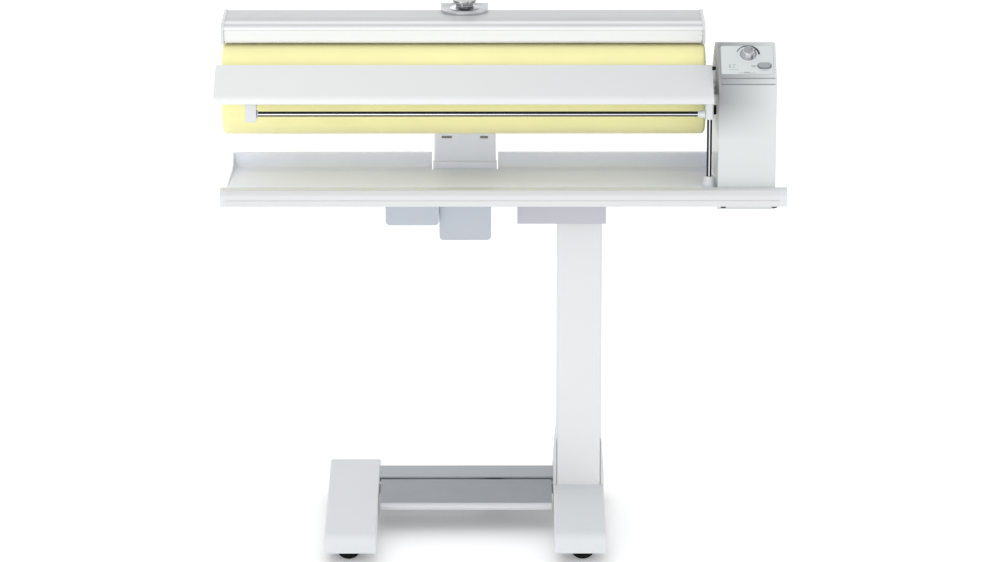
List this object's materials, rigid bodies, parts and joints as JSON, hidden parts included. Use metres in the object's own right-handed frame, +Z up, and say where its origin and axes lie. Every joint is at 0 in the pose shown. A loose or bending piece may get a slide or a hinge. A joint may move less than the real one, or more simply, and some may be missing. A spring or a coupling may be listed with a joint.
{
  "type": "flatwork ironer",
  "caption": "Free-standing rotary ironer: a padded roller under a long heater cover, with a sloped feedboard, laundry tray, control head, foot bar and a folding column on castors.",
  "frame": {"origin": "centre of the whole machine on the floor", "axes": "+X towards the user's right, where the control head is; +Y to the back, away from the user; +Z up"},
  "size_m": [0.985, 0.38, 0.955],
  "materials": {
    "white_plastic": "satin, slightly cool white",
    "white_metal": "smooth white powder coat",
    "cover_white": "glossy white",
    "grey_panel": "satin light grey",
    "pedal_grey": "satin blue grey",
    "fascia_grey": "satin pale grey",
    "black_plastic": "matt black",
    "tyre_black": "matt black",
    "chrome": "polished",
    "frame_steel": "zinc plated",
    "bright_steel": "turned",
    "cast_aluminium": "cast, unpainted",
    "polished_aluminium": "polished",
    "motor_black": "black",
    "nylon": "natural",
    "brass": "machined",
    "cloth": "plain cotton, soft yellow",
    "padding": "wool felt",
    "wool": "mineral wool"
  },
  "bodies": {
    "base": {"left_foot": "white_plastic", "right_foot": "white_plastic", "column": "white_metal", "cross_member": "cast_aluminium", "pedal_switch": "black_plastic", "pedal_pins": "bright_steel", "fold_bracket": "white_metal", "pivot_pin": "bright_steel"},
    "pedal": {"pedal_bar": "pedal_grey"},
    "fold_lock": {"fold_lock_lever": "black_plastic"},
    "castor_front_left": {"front_left_castor_hood": "black_plastic"},
    "wheels_front_left": {"front_left_castor_wheels": "tyre_black"},
    "castor_front_right": {"front_right_castor_hood": "black_plastic"},
    "wheels_front_right": {"front_right_castor_wheels": "tyre_black"},
    "castor_back_left": {"back_left_castor_hood": "black_plastic"},
    "wheels_back_left": {"back_left_castor_wheels": "tyre_black"},
    "castor_back_right": {"back_right_castor_hood": "black_plastic"},
    "wheels_back_right": {"back_right_castor_wheels": "tyre_black"},
    "ironer": {"chassis_beam": "frame_steel", "tray_pan": "white_metal", "tray_lip": "white_metal", "lip_end_caps": "white_plastic", "tray_bumpers": "tyre_black", "head_shell": "white_plastic", "head_rear_cover": "white_plastic", "control_fascia": "fascia_grey", "bearing_frame": "frame_steel", "roller_bearings": "bright_steel", "drive_motor": "motor_black", "cable_gland": "black_plastic", "arm_housing": "white_plastic", "arm_pivot_pin": "bright_steel", "mechanism_box": "grey_panel", "electronics_box": "grey_panel", "press_motor": "motor_black", "rod_boot": "white_plastic"},
    "roller": {"roller_cloth": "cloth", "roller_padding": "padding", "roller_drum": "frame_steel", "roller_left_cap": "frame_steel", "roller_right_hub": "frame_steel", "roller_shaft": "bright_steel", "drive_gear": "nylon"},
    "pinion": {"motor_pinion": "brass"},
    "heater": {"heater_shoe": "polished_aluminium", "heating_elements": "bright_steel", "heater_insulation": "wool", "heater_cover": "cover_white", "cover_end_caps": "white_plastic", "press_arm": "cast_aluminium", "knob_plate": "chrome"},
    "guard": {"finger_guard": "white_plastic"},
    "release": {"release_knob": "chrome"},
    "cam": {"press_cam": "nylon"},
    "gate": {"feedboard": "white_plastic", "feedboard_end_caps": "white_plastic", "rail_brackets": "white_plastic", "gate_rods": "chrome"},
    "dial": {"temperature_knob": "chrome"},
    "button": {"power_button": "fascia_grey"}
  },
  "joints": [
    {"name": "fold", "type": "hinge", "parent": "base", "child": "ironer", "pos_m": [0.047, 0.08, 0.601], "axis": [0, -1, 0], "range_deg": [0, 90]},
    {"name": "pedal", "type": "hinge", "parent": "base", "child": "pedal", "pos_m": [0, 0.078, 0.057], "axis": [1, 0, 0], "range_deg": [0, 5], "stiffness_Nm_per_rad": 20, "springref_deg": -2.86},
    {"name": "fold_lock_turn", "type": "hinge", "parent": "base", "child": "fold_lock", "pos_m": [0.047, 0.157, 0.601], "axis": [0, 1, 0], "range_deg": [0, 60]},
    {"name": "swivel_front_left", "type": "hinge", "parent": "base", "child": "castor_front_left", "pos_m": [-0.265, -0.146, 0.05], "axis": [0, 0, 1], "continuous": true},
    {"name": "roll_front_left", "type": "hinge", "parent": "castor_front_left", "child": "wheels_front_left", "pos_m": [-0.269, -0.146, 0.022], "axis": [0, 1, 0], "continuous": true},
    {"name": "swivel_front_right", "type": "hinge", "parent": "base", "child": "castor_front_right", "pos_m": [0.14, -0.146, 0.05], "axis": [0, 0, 1], "continuous": true},
    {"name": "roll_front_right", "type": "hinge", "parent": "castor_front_right", "child": "wheels_front_right", "pos_m": [0.144, -0.146, 0.022], "axis": [0, 1, 0], "continuous": true},
    {"name": "swivel_back_left", "type": "hinge", "parent": "base", "child": "castor_back_left", "pos_m": [-0.265, 0.152, 0.05], "axis": [0, 0, 1], "continuous": true},
    {"name": "roll_back_left", "type": "hinge", "parent": "castor_back_left", "child": "wheels_back_left", "pos_m": [-0.269, 0.152, 0.022], "axis": [0, 1, 0], "continuous": true},
    {"name": "swivel_back_right", "type": "hinge", "parent": "base", "child": "castor_back_right", "pos_m": [0.14, 0.152, 0.05], "axis": [0, 0, 1], "continuous": true},
    {"name": "roll_back_right", "type": "hinge", "parent": "castor_back_right", "child": "wheels_back_right", "pos_m": [0.144, 0.152, 0.022], "axis": [0, 1, 0], "continuous": true},
    {"name": "roller_spin", "type": "hinge", "parent": "ironer", "child": "roller", "pos_m": [0, -0.02, 0.821], "axis": [1, 0, 0], "continuous": true},
    {"name": "pinion_spin", "type": "hinge", "parent": "ironer", "child": "pinion", "pos_m": [0.41, -0.02, 0.757], "axis": [1, 0, 0], "continuous": true},
    {"name": "heater_lift", "type": "hinge", "parent": "ironer", "child": "heater", "pos_m": [-0.063, 0.115, 0.7], "axis": [1, 0, 0], "range_deg": [-6, 0]},
    {"name": "cam_spin", "type": "hinge", "parent": "ironer", "child": "cam", "pos_m": [-0.063, 0.081, 0.592], "axis": [1, 0, 0], "range_deg": [0, 120]},
    {"name": "finger_guard_swing", "type": "hinge", "parent": "heater", "child": "guard", "pos_m": [0, -0.0344, 0.922], "axis": [1, 0, 0], "range_deg": [0, 5], "stiffness_Nm_per_rad": 0.5, "springref_deg": -2.86},
    {"name": "release_turn", "type": "hinge", "parent": "heater", "child": "release", "pos_m": [-0.064, 0.085, 0.94], "axis": [0, 0, 1], "range_deg": [0, 90]},
    {"name": "gate_swing", "type": "hinge", "parent": "ironer", "child": "gate", "pos_m": [0.359, -0.143, 0.7], "axis": [0, 0, 1], "range_deg": [0, 20]},
    {"name": "dial_turn", "type": "hinge", "parent": "ironer", "child": "dial", "pos_m": [0.4252, -0.11561, 0.9051], "axis": [0, -0.5752, 0.818], "range_deg": [0, 270]},
    {"name": "power_press", "type": "slide", "parent": "ironer", "child": "button", "axis": [0, 0.5752, -0.818], "range_m": [0, 0.002], "stiffness_N_per_m": 200, "springref_m": -0.001}
  ],
  "couplings": [
    {"joint": "pinion_spin", "follows": "roller_spin", "ratio": -4.3333},
    {"joint": "cam_spin", "follows": "heater_lift", "ratio": -20}
  ]
}
